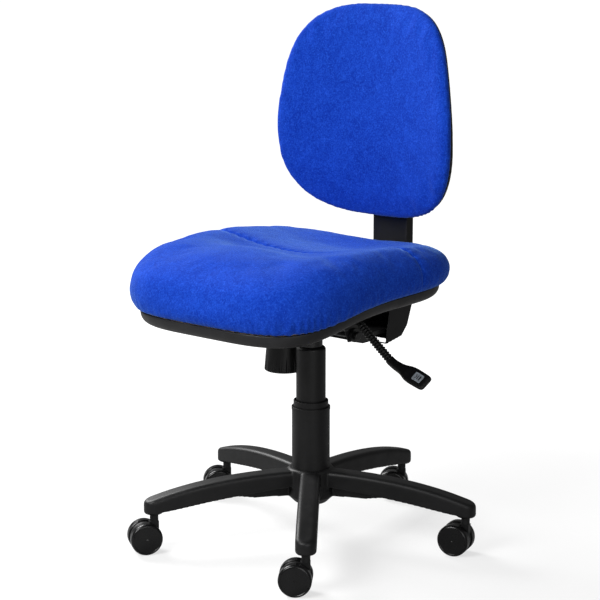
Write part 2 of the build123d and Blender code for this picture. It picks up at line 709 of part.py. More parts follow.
def ratchet_carrier():
    """Block that slides up the bar in steps and holds the backrest."""
    block = box(-40, 40, 229, 262, 715, 865)
    block -= box(-BAR_HALF_X - 0.3, BAR_HALF_X + 0.3, BAR_FRONT - 0.3, BAR_REAR + 0.3, 700, 880)
    for x, z in back_screw_spots():
        block -= Pos(x, 230, z) * Rot(90, 0, 0) * Cylinder(3.2, 22)
    return block


def back_screws():
    """Screws that join the carrier to the back board."""
    screws = []
    for x, z in back_screw_spots():
        screws.append(Pos(x, 226.5, z) * Rot(90, 0, 0) * Cylinder(3, 23))
    return Compound(children=screws)


def build_parts():
    parts = {
        "star_base": star_base(),
        "column_tube": column_tube(),
        "column_bush": column_bush(),
        "thrust_bearing": thrust_bearing(),
        "lower_cover": lower_cover(),
        "middle_cover": middle_cover(),
        "piston_rod": piston_rod(),
        "rod_clip": rod_clip(),
        "gas_cylinder": gas_cylinder(),
        "upper_cover": upper_cover(),
        "mechanism_housing": mechanism_housing(),
        "pivot_pins": pivot_pins(),
        "tension_spring": tension_spring(),
        "tension_knob": tension_knob(),
        "tension_bolt": tension_bolt(),
        "release_button": release_button(),
        "gas_lever_rod": gas_lever_rod(),
        "gas_lever_handle": gas_lever_handle(),
        "lock_lever_rod": lock_lever_rod(),
        "lock_lever_sleeve": lock_lever_sleeve(),
        "lock_lever_handle": lock_lever_handle(),
        "seat_plate": seat_plate(),
        "seat_board": seat_board(),
        "seat_pan": seat_pan(),
        "seat_cushion": seat_cushion(),
        "seat_bolts": seat_bolts(),
        "back_bar": back_bar(),
        "back_bar_cover": back_bar_cover(),
        "ratchet_carrier": ratchet_carrier(),
        "back_board": back_board(),
        "back_shell": back_shell(),
        "back_cushion": back_cushion(),
        "back_screws": back_screws(),
    }
    for index in range(ARM_COUNT):
        place = caster_place(index)
        name = f"caster_{index + 1}"
        parts[f"{name}_hood"] = place * caster_hood()
        parts[f"{name}_stem"] = place * caster_stem()
        parts[f"{name}_axle"] = place * caster_axle()
        parts[f"{name}_wheel_a"] = place * caster_wheel(1)
        parts[f"{name}_wheel_b"] = place * caster_wheel(-1)
    return parts


os.makedirs("parts", exist_ok=True)
for node, shape in build_parts().items():
    export_step(shape, f"parts/{node}.step")
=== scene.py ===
import json
import math

import bmesh
import bpy
import numpy as np
from mathutils import Matrix, Vector, noise


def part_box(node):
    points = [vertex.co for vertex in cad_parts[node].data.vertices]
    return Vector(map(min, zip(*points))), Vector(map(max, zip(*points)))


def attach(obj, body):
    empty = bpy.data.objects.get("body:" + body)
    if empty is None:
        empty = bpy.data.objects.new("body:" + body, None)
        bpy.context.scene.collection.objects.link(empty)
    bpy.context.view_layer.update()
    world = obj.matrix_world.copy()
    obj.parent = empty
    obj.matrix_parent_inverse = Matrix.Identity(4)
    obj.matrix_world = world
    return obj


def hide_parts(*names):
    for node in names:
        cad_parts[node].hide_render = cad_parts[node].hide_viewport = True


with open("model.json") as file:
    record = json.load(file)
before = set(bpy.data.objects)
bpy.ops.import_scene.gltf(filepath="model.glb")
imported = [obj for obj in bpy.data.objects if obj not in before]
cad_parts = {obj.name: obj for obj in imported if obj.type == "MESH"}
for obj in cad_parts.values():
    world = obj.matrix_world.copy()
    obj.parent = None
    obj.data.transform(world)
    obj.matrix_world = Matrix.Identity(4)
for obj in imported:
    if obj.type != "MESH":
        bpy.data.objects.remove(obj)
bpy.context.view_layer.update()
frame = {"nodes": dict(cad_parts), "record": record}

# Swivel office chair. Metres, +Z up, the seat faces -Y, the sitter's left is +X.

scene = bpy.context.scene
scene.view_settings.view_transform = "Standard"
nodes = frame["nodes"]

# ---------------------------------------------------------------- dimensions
SEAT_POWER = 4.0
SEAM_LINE = (
    (-0.330, 0.464), (-0.290, 0.465), (-0.245, 0.469), (-0.190, 0.478), (-0.130, 0.489),
    (-0.060, 0.4955), (0.020, 0.498), (0.100, 0.499), (0.220, 0.499),
)
PAN_FLOOR_LINE = (
    (-0.330, 0.439), (-0.290, 0.4395), (-0.245, 0.443), (-0.190, 0.453), (-0.130, 0.465),
    (-0.060, 0.472), (0.020, 0.474), (0.100, 0.474), (0.220, 0.4735),
)
CREST_LINE = (
    (-0.330, 0.5800), (-0.190, 0.5805), (-0.110, 0.5835), (-0.023, 0.5810),
    (0.079, 0.5725), (0.150, 0.5670), (0.210, 0.5640),
)
LUMBAR = (
    (0.560, 0.030), (0.600, 0.018), (0.650, 0.009), (0.710, 0.0025), (0.770, 0.0),
    (0.870, 0.002), (0.975, 0.013), (1.030, 0.023),
)
BOARD_BEND = (
    (0.560, 0.012), (0.600, 0.007), (0.650, 0.0035), (0.710, 0.001), (0.770, 0.0),
    (0.870, 0.0), (0.975, 0.002), (1.030, 0.004),
)
FRONT_AXIS_Y, FRONT_RADIUS = -0.387, 0.560
BOARD_AXIS_Y, BOARD_RADIUS = -0.215, 0.425
BACK_WIDEST_Z = 0.769
BACK_TOP_POWER, BACK_BOTTOM_POWER = 2.45, 2.75
BACK_CENTRE_Z = 0.785
BACK_ROLL = 0.034
BACK_ROLL_POWER = 2.2
BACK_EDGE_DEPTH = 0.0105
BACK_OVERHANG = 0.003
BACK_TUCK = 0.004
SHOULDER_POWER = 3.2
SHOULDER_NARROWING = 0.045
SEAT_SIDE_ROLL = 0.062
SEAT_FRONT_ROLL = 0.083
SEAT_REAR_ROLL = 0.004
SEAT_ROLL_POWER = 2.15
SEAT_DISH = 0.024
THIGH_HOLLOW = 0.006
SEAM_DEPTH = 0.0042
PUCKER_LENGTH = 0.019
PUCKER_DEPTH = 0.0006
PAN_WALL = 0.0035
PAN_CORNER = 0.020
ARM_HOLE_R = 0.004
DRILL_LOW, DRILL_HIGH = 0.440, 0.4805
CLEARANCE = 0.0006
HELD_BAND = 0.004

# Cloth settings shared by the two cushions.
CLOTH_FRAMES = 20
CLOTH_PRESSURE = 3.0
SEAT_VOXEL, SEAT_SWELL = 0.0055, 0.004
BACK_VOXEL, BACK_SWELL = 0.0050, 0.003


def curve_through(points):
    """Smooth function through the given (position, value) pairs."""
    xs = np.array([p[0] for p in points])
    ys = np.array([p[1] for p in points])
    slope = np.gradient(ys, xs)

    def value(x):
        x = np.clip(x, xs[0], xs[-1])
        i = np.clip(np.searchsorted(xs, x) - 1, 0, len(xs) - 2)
        h = xs[i + 1] - xs[i]
        t = (x - xs[i]) / h
        a = (1 + 2 * t) * (1 - t) ** 2
        b = t * (1 - t) ** 2
        c = t * t * (3 - 2 * t)
        d = t * t * (t - 1)
        return a * ys[i] + b * h * slope[i] + c * ys[i + 1] + d * h * slope[i + 1]

    return value


seam_z = curve_through(SEAM_LINE)
pan_floor_z = curve_through(PAN_FLOOR_LINE)
crest_z = curve_through(CREST_LINE)
lumbar = curve_through(LUMBAR)
board_bend = curve_through(BOARD_BEND)


def smoothstep(low, high, x):
    t = np.clip((x - low) / (high - low), 0.0, 1.0)
    return t * t * (3 - 2 * t)


# ---------------------------------------------------------------- materials
class Shader:
    """A Principled material being wired up, with short ways to add its nodes."""

    def __init__(self, name, colour, roughness):
        self.material = bpy.data.materials.new(name)
        self.material.use_nodes = True
        self.tree = self.material.node_tree
        self.shader = self.tree.nodes["Principled BSDF"]
        self.set("Base Color", (*colour, 1.0))
        self.set("Roughness", roughness)
        self.coords = self.tree.nodes.new("ShaderNodeTexCoord").outputs["Object"]
        self.material.diffuse_color = (*colour, 1.0)

    def set(self, socket, value):
        self.shader.inputs[socket].default_value = value

    def link(self, start, end):
        self.tree.links.new(start, end)

    def stretched(self, scale):
        mapping = self.tree.nodes.new("ShaderNodeMapping")
        mapping.inputs["Scale"].default_value = scale
        self.link(self.coords, mapping.inputs["Vector"])
        return mapping.outputs["Vector"]

    def noise(self, scale, detail=2.0, rough=0.5, vector=None, distortion=0.0):
        node = self.tree.nodes.new("ShaderNodeTexNoise")
        node.inputs["Scale"].default_value = scale
        node.inputs["Detail"].default_value = detail
        node.inputs["Roughness"].default_value = rough
        node.inputs["Distortion"].default_value = distortion
        self.link(vector or self.coords, node.inputs["Vector"])
        return node.outputs["Fac"]

    def ramp(self, factor, stops):
        node = self.tree.nodes.new("ShaderNodeValToRGB")
        elements = node.color_ramp.elements
        while len(elements) < len(stops):
            elements.new(0.5)
        for element, (place, colour) in zip(elements, stops):
            element.position = place
            element.color = (*colour, 1.0)
        self.link(factor, node.inputs["Fac"])
        return node.outputs["Color"]

    def spread(self, factor, low, high, start=0.3, end=0.7):
        node = self.tree.nodes.new("ShaderNodeMapRange")
        node.inputs["From Min"].default_value = start
        node.inputs["From Max"].default_value = end
        node.inputs["To Min"].default_value = low
        node.inputs["To Max"].default_value = high
        self.link(factor, node.inputs["Value"])
        return node.outputs["Result"]

    def mix(self, factor, a, b):
        node = self.tree.nodes.new("ShaderNodeMix")
        node.data_type = "RGBA"
        for socket, value in ((0, factor), (6, a), (7, b)):
            if hasattr(value, "is_output"):
                self.link(value, node.inputs[socket])
            elif isinstance(value, tuple):
                node.inputs[socket].default_value = (*value, 1.0)
            else:
                node.inputs[socket].default_value = value
        return node.outputs[2]

    def math(self, operation, a, b):
        node = self.tree.nodes.new("ShaderNodeMath")
        node.operation = operation
        for socket, value in enumerate((a, b)):
            if hasattr(value, "is_output"):
                self.link(value, node.inputs[socket])
            else:
                node.inputs[socket].default_value = value
        return node.outputs[0]

    def bump(self, height, strength, distance, below=None):
        node = self.tree.nodes.new("ShaderNodeBump")
        node.inputs["Strength"].default_value = strength
        node.inputs["Distance"].default_value = distance
        self.link(height, node.inputs["Height"])
        if below:
            self.link(below, node.inputs["Normal"])
        return node.outputs["Normal"]


def nylon(name, colour, roughness, grain=1100.0, grain_strength=0.25):
    """Moulded black plastic: fine spark grain, cloudy gloss, faint dusty patches."""
    s = Shader(name, colour, roughness)
    clouds = s.noise(16.0, 4.0, 0.6)
    light = tuple(c * 1.4 + 0.0012 for c in colour)
    dark = tuple(c * 0.72 for c in colour)
    s.link(s.ramp(clouds, ((0.3, dark), (0.7, light))), s.shader.inputs["Base Color"])
    worn = s.spread(s.noise(38.0, 5.0, 0.65), roughness - 0.05, roughness + 0.07)
    s.link(worn, s.shader.inputs["Roughness"])
    fine = s.bump(s.noise(grain, 2.0, 0.6), grain_strength, 0.00025)
    s.link(s.bump(s.noise(60.0, 2.0, 0.5), 0.05, 0.0006, fine), s.shader.inputs["Normal"])
    s.set("Specular IOR Level", 0.32)
    return s.material


def pile_fabric():
    """Short brushed royal-blue pile: stroked patches, fibres and a pale sheen."""
    base = (0.0046, 0.041, 0.400)
    s = Shader("blue_pile", base, 0.95)
    patches = s.noise(26.0, 6.0, 0.70, distortion=0.5)
    strokes = s.noise(120.0, 5.0, 0.80, s.stretched((1.0, 1.0, 0.6)), 0.8)
    fibres = s.noise(330.0, 4.0, 0.80)
    deep = (0.0032, 0.032, 0.345)
    bright = (0.0068, 0.051, 0.455)
    tone = s.ramp(patches, ((0.30, deep), (0.50, base), (0.72, bright)))
    tone = s.mix(s.spread(strokes, 0.0, 0.60, 0.48, 0.68), tone, (0.013, 0.080, 0.580))
    tone = s.mix(s.spread(fibres, 0.0, 0.65, 0.52, 0.70), tone, (0.030, 0.125, 0.720))
    tone = s.mix(s.spread(fibres, 0.75, 0.0, 0.32, 0.48), tone, (0.0016, 0.014, 0.210))
    s.link(tone, s.shader.inputs["Base Color"])
    s.set("Sheen Weight", 0.38)
    s.set("Sheen Roughness", 0.32)
    s.set("Sheen Tint", (0.27, 0.54, 1.0, 1.0))
    s.set("Specular IOR Level", 0.08)
    nap = s.bump(s.noise(1300.0, 3.0, 0.7), 0.55, 0.0006)
    nap = s.bump(s.noise(330.0, 4.0, 0.65), 0.40, 0.0008, nap)
    s.link(s.bump(strokes, 0.14, 0.0010, nap), s.shader.inputs["Normal"])
    return s.material


def plated_steel():
    """Bright zinc with cloudy patches."""
    s = Shader("bright_zinc", (0.56, 0.57, 0.58), 0.32)
    s.set("Metallic", 1.0)
    blotch = s.noise(120.0, 4.0, 0.6)
    tone = s.ramp(blotch, ((0.3, (0.42, 0.43, 0.44)), (0.7, (0.66, 0.67, 0.68))))
    s.link(tone, s.shader.inputs["Base Color"])
    s.link(s.spread(blotch, 0.24, 0.42), s.shader.inputs["Roughness"])
    s.link(s.bump(s.noise(900.0, 2.0), 0.08, 0.0002), s.shader.inputs["Normal"])
    return s.material


def coated_steel():
    """Black powder coat with its orange-peel ripple."""
    s = Shader("black_powder_coat", (0.006, 0.006, 0.0065), 0.30)
    s.link(s.spread(s.noise(70.0, 4.0), 0.28, 0.44), s.shader.inputs["Roughness"])
    tone = s.ramp(s.noise(28.0, 3.0), ((0.3, (0.0045, 0.0045, 0.0048)), (0.7, (0.0085, 0.0085, 0.009))))
    s.link(tone, s.shader.inputs["Base Color"])
    s.link(s.bump(s.noise(420.0, 2.0, 0.4), 0.22, 0.0004), s.shader.inputs["Normal"])
    return s.material


def plywood():
    """Pale veneer with its grain across the board."""
    s = Shader("plywood", (0.60, 0.44, 0.27), 0.6)
    grain = s.noise(24.0, 6.0, 0.6, s.stretched((1.0, 9.0, 30.0)), 0.8)
    tone = s.ramp(grain, ((0.25, (0.42, 0.27, 0.14)), (0.5, (0.60, 0.43, 0.26)), (0.8, (0.72, 0.56, 0.37))))
    s.link(tone, s.shader.inputs["Base Color"])
    s.link(s.bump(grain, 0.2, 0.0004), s.shader.inputs["Normal"])
    return s.material


def paper():
    """Floor made pale by a painted glow that only the camera sees; the glow rises away from the chair, so
    the floor near it is left darker.
    """
    s = Shader("floor_paper", (0.34, 0.34, 0.34), 0.9)
    tone = s.ramp(s.noise(3.0, 3.0), ((0.3, (0.335, 0.335, 0.335)), (0.7, (0.345, 0.345, 0.345))))
    s.link(tone, s.shader.inputs["Base Color"])
    s.set("Specular IOR Level", 0.1)
    s.set("Emission Color", (1.0, 1.0, 1.0, 1.0))
    seen = s.tree.nodes.new("ShaderNodeLightPath").outputs["Is Camera Ray"]
    away = s.tree.nodes.new("ShaderNodeVectorMath")
    away.operation = "LENGTH"
    s.link(s.coords, away.inputs[0])
    # Painted glow: weaker near the chair, full further out.
    glow = s.spread(away.outputs["Value"], 0.66, 1.02, 0.45, 2.2)
    strength = s.math("MULTIPLY", glow, s.spread(seen, 0.06, 1.0, 0.0, 1.0))
    s.link(strength, s.shader.inputs["Emission Strength"])
    return s.material


BLACK = nylon("black_nylon", (0.0040, 0.0040, 0.0043), 0.46)
PAN_BLACK = nylon("black_pan", (0.0110, 0.0108, 0.0118), 0.46, grain=800.0, grain_strength=0.3)
GLOSS = nylon("gloss_nylon", (0.0035, 0.0035, 0.0037), 0.24, grain=500.0, grain_strength=0.05)
SLEEVE = nylon("black_sleeve", (0.0040, 0.0040, 0.0043), 0.30, grain=700.0, grain_strength=0.15)
LABEL = nylon("pale_label", (0.34, 0.38, 0.42), 0.5, grain=600.0, grain_strength=0.1)
MARK = nylon("dark_mark", (0.03, 0.03, 0.035), 0.5)
BLUE = pile_fabric()
BRIGHT = plated_steel()
POWDER = coated_steel()
WOOD = plywood()

SLOT_MATERIALS = {
    "black_nylon": BLACK, "gloss_nylon": GLOSS, "blue_fabric": BLUE, "plywood": WOOD,
    "black_steel": POWDER, "bright_steel": BRIGHT, "black_sleeve": SLEEVE,
}
for entry in frame["record"]["subparts"]:
    mesh = nodes[entry["node"]].data
    for index in range(len(mesh.materials)):
        mesh.materials[index] = SLOT_MATERIALS[entry["material_slot"]]


# ---------------------------------------------------------------- mesh helpers
def link_mesh(name, vertices, faces, material, smooth=True):
    mesh = bpy.data.meshes.new(name)
    mesh.from_pydata([tuple(v) for v in vertices], [], faces)
    mesh.validate()
    mesh.polygons.foreach_set("use_smooth", [smooth] * len(mesh.polygons))
    mesh.materials.append(material)
    piece = bpy.data.objects.new(name, mesh)
    scene.collection.objects.link(piece)
    return piece


def closed_rings(name, rings, material):
    """Skin over equal rings of points, with a single point closing each end."""
    count = len(rings[0])
    vertices = [np.mean(rings[0], axis=0)]
    for ring in rings:
        vertices.extend(ring)
    vertices.append(np.mean(rings[-1], axis=0))
    last = len(vertices) - 1
    faces = []
    for j in range(count):
        k = (j + 1) % count
        faces.append((0, 1 + k, 1 + j))
        faces.append((last, last - count + j, last - count + k))
    for i in range(len(rings) - 1):
        for j in range(count):
            k = (j + 1) % count
            a = 1 + i * count
            b = a + count
            faces.append((a + j, a + k, b + k, b + j))
    piece = link_mesh(name, vertices, faces, material)
    outward(piece)
    return piece


def outward(piece):
    """Turns every face of a closed mesh to look outwards."""
    bm = bmesh.new()
    bm.from_mesh(piece.data)
    bmesh.ops.recalc_face_normals(bm, faces=bm.faces)
    bm.to_mesh(piece.data)
    bm.free()


def read_points(mesh):
    flat = np.zeros(len(mesh.vertices) * 3)
    mesh.vertices.foreach_get("co", flat)
    return flat.reshape(-1, 3)


def write_points(mesh, points):
    mesh.vertices.foreach_set("co", points.reshape(-1))
    mesh.update()


def bake_modifiers(piece):
    """Keeps the shape that a piece's modifiers give it, and drops the modifiers."""
    graph = bpy.context.evaluated_depsgraph_get()
    shaped = bpy.data.meshes.new_from_object(piece.evaluated_get(graph))
    piece.modifiers.clear()
    old = piece.data
    piece.data = shaped
    bpy.data.meshes.remove(old)
    piece.data.polygons.foreach_set("use_smooth", [True] * len(piece.data.polygons))


def stuff(piece, voxel, cap, held):
    """Foam under a sewn cover: remeshed, blown up a little as cloth, capped."""
    remesh = piece.modifiers.new("remesh", "REMESH")
    remesh.mode = "VOXEL"
    remesh.voxel_size = voxel
    bake_modifiers(piece)
    before = read_points(piece.data)
    fixed = piece.vertex_groups.new(name="held")
    for index in np.nonzero(held(before))[0]:
        fixed.add([int(index)], 1.0, "REPLACE")
    cloth = piece.modifiers.new("cloth", "CLOTH")
    cloth.settings.use_pressure = True
    cloth.settings.uniform_pressure_force = CLOTH_PRESSURE
    cloth.settings.effector_weights.gravity = 0.0
    cloth.settings.vertex_group_mass = "held"
    cloth.settings.tension_stiffness = 25.0
    cloth.settings.compression_stiffness = 25.0
    cloth.settings.bending_stiffness = 3.0
    cloth.point_cache.frame_end = CLOTH_FRAMES
    for step in range(1, CLOTH_FRAMES + 1):
        scene.frame_set(step)
    bake_modifiers(piece)
    after = read_points(piece.data)
    move = after - before
    length = np.linalg.norm(move, axis=1, keepdims=True)
    move *= cap * np.tanh(length / cap) / np.maximum(length, 1e-9)
    write_points(piece.data, before + move)
    scene.frame_set(1)
    piece.vertex_groups.clear()
    relax = piece.modifiers.new("relax", "SMOOTH")
    relax.factor = 0.5
    relax.iterations = 5
    finer = piece.modifiers.new("finer", "SUBSURF")
    finer.levels = 1
    finer.render_levels = 1
    bake_modifiers(piece)


def vertex_normals(mesh):
    flat = np.zeros(len(mesh.vertices) * 3)
    mesh.vertices.foreach_get("normal", flat)
    return flat.reshape(-1, 3)


# ---------------------------------------------------------------- seat cushion
seat_low, seat_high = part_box("seat_cushion")
pan_low, pan_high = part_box("seat_pan")
SEAT_CENTRE = Vector(((seat_low.x + seat_high.x) / 2, (seat_low.y + seat_high.y) / 2, 0))
SEAT_HALF = ((seat_high.x - seat_low.x) / 2 + 0.0015, (seat_high.y - seat_low.y) / 2 + 0.0015)
PAN_HALF = ((pan_high.x - pan_low.x) / 2, (pan_high.y - pan_low.y) / 2)


def outline(half, angles):
    """Superellipse in plan around the seat's centre."""
    cos, sin = np.cos(angles), np.sin(angles)
    x = half[0] * np.sign(cos) * np.abs(cos) ** (2 / SEAT_POWER)
    y = half[1] * np.sign(sin) * np.abs(sin) ** (2 / SEAT_POWER)
    return np.stack((x + SEAT_CENTRE.x, y + SEAT_CENTRE.y), axis=1)


def even_angles(shape, count):
    """Angles that space the points of an outline function about evenly."""
    fine = np.linspace(0, 2 * math.pi, 7201)
    plan = shape(fine)
    run = np.concatenate(([0], np.cumsum(np.linalg.norm(np.diff(plan, axis=0), axis=1))))
    return np.interp(np.arange(count) / count * run[-1], run, fine)


def seat_inner_top(x, y):
    """Height of the upholstery inside its rims: crest less the sitting dish."""
    across = np.clip(1 - ((x - 0.004) / 0.188) ** 2, 0, 1) ** 1.6
    along = smoothstep(-0.172, -0.080, y) * (1 - 0.75 * smoothstep(0.075, 0.185, y))
    scoop = SEAT_DISH * across * along
    thighs = THIGH_HOLLOW * np.exp(-((np.abs(x) - 0.095) / 0.055) ** 2) * smoothstep(-0.30, -0.17, y)
    return crest_z(y) - scoop - thighs * (1 - smoothstep(-0.12, -0.02, y))


def seat_cushion():
    """Crowned seat with a deep rolled front, tucked in to the board's edge below."""
    angles = even_angles(lambda a: outline(SEAT_HALF, a), 200)
    wide = outline(SEAT_HALF, angles)
    seam = outline(PAN_HALF, angles)
    centre = np.array((SEAT_CENTRE.x, SEAT_CENTRE.y))
    tangent = np.roll(wide, -1, axis=0) - np.roll(wide, 1, axis=0)
    normal_y = -tangent[:, 0] / np.linalg.norm(tangent, axis=1)
    front = np.clip(-normal_y, 0, 1) ** 1.5
    rear = np.clip(normal_y, 0, 1) ** 2
    roll = SEAT_SIDE_ROLL + SEAT_FRONT_ROLL * front + SEAT_REAR_ROLL * rear
    edge_z = seam_z(wide[:, 1]) + 0.026 + 0.016 * front
    reach = np.linalg.norm(wide - centre, axis=1)
    rings = []
    for u in np.concatenate((np.linspace(0.02, 0.60, 14), np.linspace(0.64, 1.0, 30))):
        plan = centre + u * (wide - centre)
        t = np.clip((1 - u) * reach / roll, 0, 1)
        rise = (1 - (1 - t) ** SEAT_ROLL_POWER) ** (1 / SEAT_ROLL_POWER)
        z = edge_z + (seat_inner_top(plan[:, 0], plan[:, 1]) - edge_z) * rise
        rings.append(np.column_stack((plan, z)))
    for v in np.linspace(0.08, 1.0, 12):
        turn = v * math.pi / 2
        plan = seam + (wide - seam) * math.cos(turn) ** 0.9
        low = seam_z(plan[:, 1]) + CLEARANCE
        z = edge_z + (low - edge_z) * math.sin(turn)
        rings.append(np.column_stack((plan, z)))
    for u in np.linspace(0.97, 0.03, 14):
        plan = centre + u * (seam - centre)
        rings.append(np.column_stack((plan, seam_z(plan[:, 1]) + CLEARANCE)))
    piece = closed_rings("seat_upholstery", rings, BLUE)
    stuff(piece, SEAT_VOXEL, SEAT_SWELL, lambda p: p[:, 2] < seam_z(p[:, 1]) + HELD_BAND)
    sew_seat(piece.data)
    keep_above_board(piece.data)
    return piece


def seat_seam_path(x):
    """Where the cross seam runs, front to back, for each place across the seat."""
    bow = np.cos(np.clip((x + 0.16) / 0.32, -1, 1) * math.pi * 0.5)
    return -0.024 - 0.024 * bow + 0.058 * smoothstep(0.02, 0.22, x)


def sew_seat(mesh):
    """Cross seam with its puckers, and small gathers above the S-shaped edge."""
    points = read_points(mesh)
    normals = vertex_normals(mesh)
    x, y, z = points.T
    off = y - seat_seam_path(x)
    above = smoothstep(0.010, 0.030, z - seam_z(y))
    groove = SEAM_DEPTH * np.exp(-(off / 0.0032) ** 2) + 0.0022 * np.exp(-(off / 0.013) ** 2)
    waves = np.sin(x * 2 * math.pi / PUCKER_LENGTH + 2.2 * np.sin(x * 31))
    pucker = PUCKER_DEPTH * waves * np.exp(-((np.abs(off) - 0.006) / 0.007) ** 2)
    shift = -(groove + pucker) * above
    angle = np.arctan2(y - SEAT_CENTRE.y, x - SEAT_CENTRE.x)
    height = z - seam_z(y)
    low_band = np.exp(-((height - 0.014) / 0.014) ** 2) * (height > 0.001)
    corner = np.exp(-((y + 0.245) / 0.070) ** 2) * smoothstep(0.02, 0.12, x)
    gathers = np.sin(angle * 118 + 3 * np.sin(angle * 17))
    shift += gathers * low_band * (0.0003 + 0.0011 * corner)
    for index, p in enumerate(points):
        swell = noise.noise(Vector(p) * 14.0) * 0.0012 + noise.noise(Vector(p) * 46.0) * 0.00045
        shift[index] += swell * min(1.0, max(0.0, height[index] / 0.02))
    write_points(mesh, points + normals * shift[:, None])


def keep_above_board(mesh):
    """Lifts any point that has sunk into the board under the cushion."""
    points = read_points(mesh)
    floor = seam_z(points[:, 1]) + 0.0005
    points[:, 2] = np.maximum(points[:, 2], floor)
    write_points(mesh, points)


upholstery = seat_cushion()
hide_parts("seat_cushion")
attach(upholstery, "seat")


# ---------------------------------------------------------------- seat pan
def seat_pan():
    """Moulded tray with a rounded lower edge; the CAD part's holes are drilled into it afterwards."""
    angles = even_angles(lambda a: outline(PAN_HALF, a), 180)
    wide = outline(PAN_HALF, angles)
    centre = np.array((SEAT_CENTRE.x, SEAT_CENTRE.y))
    reach = np.linalg.norm(wide - centre, axis=1)
    rings = []

    def ring(inset, height):
        plan = centre + (wide - centre) * (1 - inset / reach)[:, None]
        return np.column_stack((plan, height(plan[:, 1])))

    for u in np.linspace(0.04, 0.90, 14):
        plan = centre + u * (wide - centre)
        rings.append(np.column_stack((plan, pan_floor_z(plan[:, 1]))))
    for v in np.linspace(0.0, 1.0, 9):
        turn = v * math.pi / 2
        inset = np.full(len(angles), PAN_CORNER * (1 - math.sin(turn)) + 0.0005)
        lift = PAN_CORNER * (1 - math.cos(turn))
        rings.append(ring(inset, lambda y: pan_floor_z(y) + lift))
    rings.append(ring(np.full(len(angles), 0.0), lambda y: seam_z(y) - 0.0022))
    rings.append(ring(np.full(len(angles), 0.0006), lambda y: seam_z(y) - 0.0006))
    rings.append(ring(np.full(len(angles), 0.0018), lambda y: seam_z(y) - 0.0002))
    rings.append(ring(np.full(len(angles), PAN_WALL), lambda y: seam_z(y) - 0.0006))
    for v in np.linspace(0.0, 1.0, 6):
        turn = v * math.pi / 2
        inner = PAN_CORNER - PAN_WALL
        inset = np.full(len(angles), PAN_WALL + inner * (1 - math.cos(turn)))
        lift = PAN_WALL + inner * (1 - math.sin(turn))
        rings.append(ring(inset, lambda y: pan_floor_z(y) + lift))
    for u in np.linspace(0.90, 0.04, 12):
        plan = centre + u * (wide - centre)
        rings.append(np.column_stack((plan, pan_floor_z(plan[:, 1]) + PAN_WALL)))
    return closed_rings("seat_pan_moulding", rings, PAN_BLACK)


def drill(piece, places, radius, low_z, high_z):
    """Round holes straight up through a piece."""
    cutter_bm = bmesh.new()
    for x, y in places:
        spot = Matrix.Translation((x, y, (low_z + high_z) / 2))
        bmesh.ops.create_cone(
            cutter_bm, cap_ends=True, segments=28, radius1=radius, radius2=radius,
            depth=high_z - low_z, matrix=spot,
        )
    cutter_mesh = bpy.data.meshes.new("drill")
    cutter_bm.to_mesh(cutter_mesh)
    cutter_bm.free()
    cutter = bpy.data.objects.new("drill", cutter_mesh)
    scene.collection.objects.link(cutter)
    cut = piece.modifiers.new("holes", "BOOLEAN")
    cut.operation = "DIFFERENCE"
    cut.object = cutter
    cut.solver = "EXACT"
    bake_modifiers(piece)
    bpy.data.objects.remove(cutter)
    bpy.data.meshes.remove(cutter_mesh)


pan = seat_pan()
hole_places = []
for mount in frame["record"]["mounts"]:
    if mount["kind"] == "bolt_pattern":
        half_gap = mount["dims"]["spacing_y_mm"] / 2000
        for sign in (-1, 1):
            hole_places.append((mount["pos_m"][0], mount["pos_m"][1] + sign * half_gap))
drill(pan, hole_places, ARM_HOLE_R, DRILL_LOW, DRILL_HIGH)
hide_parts("seat_pan")
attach(pan, "seat")


# ---------------------------------------------------------------- back cushion
back_low, back_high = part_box("back_cushion")
BACK_HALF_X = (back_high.x - back_low.x) / 2
BACK_RISE = back_high.z - BACK_WIDEST_Z
BACK_FALL = BACK_WIDEST_Z - back_low.z


def back_outline(inset, angles):
    """Egg-shaped outline seen from the front, as X and Z."""
    cos, sin = np.cos(angles), np.sin(angles)
    power = np.where(sin > 0, BACK_TOP_POWER, BACK_BOTTOM_POWER)
    reach = np.where(sin > 0, BACK_RISE, BACK_FALL) - inset
    x = (BACK_HALF_X - inset) * np.sign(cos) * np.abs(cos) ** (2 / power)
    z = reach * np.sign(sin) * np.abs(sin) ** (2 / power)
    return np.column_stack((x, z + BACK_WIDEST_Z))


def front_y(x, z):
    """How far back the upholstery's face lies."""
    return FRONT_AXIS_Y + np.sqrt((FRONT_RADIUS + lumbar(z)) ** 2 - x * x)


def board_y(x, z):
    """How far back the front of the board lies."""
    return BOARD_AXIS_Y + np.sqrt((BOARD_RADIUS + board_bend(z)) ** 2 - x * x)


